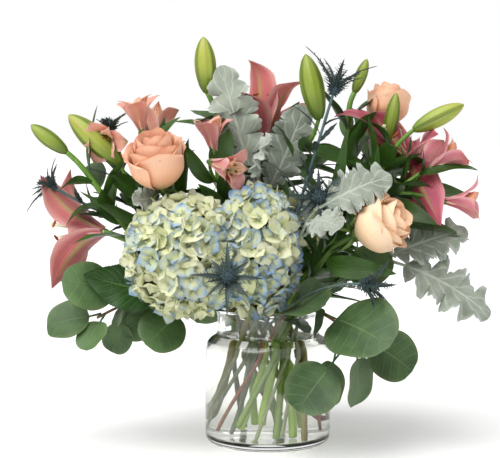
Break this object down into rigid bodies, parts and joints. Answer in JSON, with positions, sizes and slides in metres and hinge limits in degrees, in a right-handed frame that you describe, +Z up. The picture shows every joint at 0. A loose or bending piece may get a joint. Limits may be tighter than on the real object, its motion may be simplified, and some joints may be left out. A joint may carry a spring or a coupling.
{
  "type": "flower arrangement in jar",
  "caption": "Bunch of cut hydrangea, roses, lilies, alstroemeria, sea holly and silver foliage standing in a clear glass jar of water",
  "frame": {"origin": "centre of the jar's flat foot, on the surface that it stands on", "axes": "+Z is up; -Y is the front, where the large hydrangea heads are; +X is to the right of someone looking at the front"},
  "size_m": [0.4364, 0.2887, 0.3871],
  "materials": {
    "glass": "clear, smooth and glossy",
    "water": "clear water, still and glossy",
    "hydrangea": "matt petals, cream to pale green with pale blue edges",
    "rose": "velvety petals, peach",
    "lily": "satin petals, dusky pink with a green to cream middle",
    "bud": "smooth and waxy, yellow green",
    "alstroemeria": "satin petals, salmon pink with cream and dark flecks",
    "sea_holly": "dry and spiny, steel blue to green",
    "sea_holly_stem": "dry and ridged, blue violet",
    "dusty_miller": "woolly, silver grey",
    "eucalyptus": "matt with a grey bloom, grey green",
    "stem": "smooth, mid green to brown"
  },
  "bodies": {
    "root": {"alstroemeria_flower_left_1": "alstroemeria", "alstroemeria_flower_left_2": "alstroemeria", "alstroemeria_flower_left_3": "alstroemeria", "alstroemeria_flower_middle_1": "alstroemeria", "alstroemeria_flower_middle_2": "alstroemeria", "alstroemeria_flower_right_1": "alstroemeria", "alstroemeria_flower_right_2": "alstroemeria", "alstroemeria_flower_right_3": "alstroemeria", "alstroemeria_left_stem": "stem", "alstroemeria_middle_stem": "stem", "alstroemeria_right_stem": "stem", "dusty_miller_back_stem": "dusty_miller", "dusty_miller_front_stem": "dusty_miller", "dusty_miller_left_stem": "dusty_miller", "dusty_miller_right_stem": "dusty_miller", "dusty_miller_top_stem": "dusty_miller", "eucalyptus_back_stem": "eucalyptus", "eucalyptus_left_stem": "eucalyptus", "eucalyptus_right_stem": "eucalyptus", "hydrangea_back_stem": "stem", "hydrangea_head_back": "hydrangea", "hydrangea_head_left": "hydrangea", "hydrangea_head_right": "hydrangea", "hydrangea_left_stem": "stem", "hydrangea_right_stem": "stem", "jar": "glass", "lily_bud_left_1": "bud", "lily_bud_left_2": "bud", "lily_bud_right_1": "bud", "lily_bud_right_2": "bud", "lily_bud_right_3": "bud", "lily_bud_top_1": "bud", "lily_bud_top_2": "bud", "lily_flower_left": "lily", "lily_flower_right": "lily", "lily_flower_top": "lily", "lily_left_stem": "stem", "lily_right_stem": "stem", "lily_top_stem": "stem", "rose_bloom_left": "rose", "rose_bloom_right": "rose", "rose_bloom_top": "rose", "rose_left_stem": "stem", "rose_right_stem": "stem", "rose_top_stem": "stem", "sea_holly_front_stem": "sea_holly_stem", "sea_holly_head_front_1": "sea_holly", "sea_holly_head_left_1": "sea_holly", "sea_holly_head_left_2": "sea_holly", "sea_holly_head_middle_1": "sea_holly", "sea_holly_head_middle_2": "sea_holly", "sea_holly_head_right_1": "sea_holly", "sea_holly_left_stem": "sea_holly_stem", "sea_holly_middle_stem": "sea_holly_stem", "sea_holly_right_stem": "sea_holly_stem", "water": "water"}
  },
  "joints": []
}
